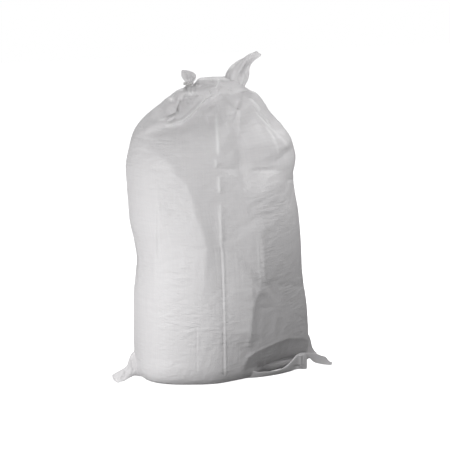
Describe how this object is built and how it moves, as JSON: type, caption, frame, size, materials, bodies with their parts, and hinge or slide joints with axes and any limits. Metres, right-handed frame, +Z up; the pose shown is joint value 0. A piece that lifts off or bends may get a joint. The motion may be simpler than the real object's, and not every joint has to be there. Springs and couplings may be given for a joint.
{
  "type": "woven polypropylene cement bag",
  "caption": "Filled woven polypropylene cement bag standing upright, mouth rolled and tied into two ears, sewn bottom hem with corner ears.",
  "frame": {"origin": "on the floor, at the centre of the flat base that the filled sack stands on", "axes": "+Z up, X along the sack's lay-flat width, front facing -Y"},
  "size_m": [0.559, 0.2636, 0.7934],
  "materials": {
    "woven_polypropylene": "white woven polypropylene tape, semi-gloss",
    "twine": "twisted off-white polypropylene twine, matt",
    "seam_thread": "white sewing thread, matt"
  },
  "bodies": {
    "root": {"woven_sack": "woven_polypropylene", "mouth_twine": "twine", "bottom_seam_thread": "seam_thread"}
  },
  "joints": []
}
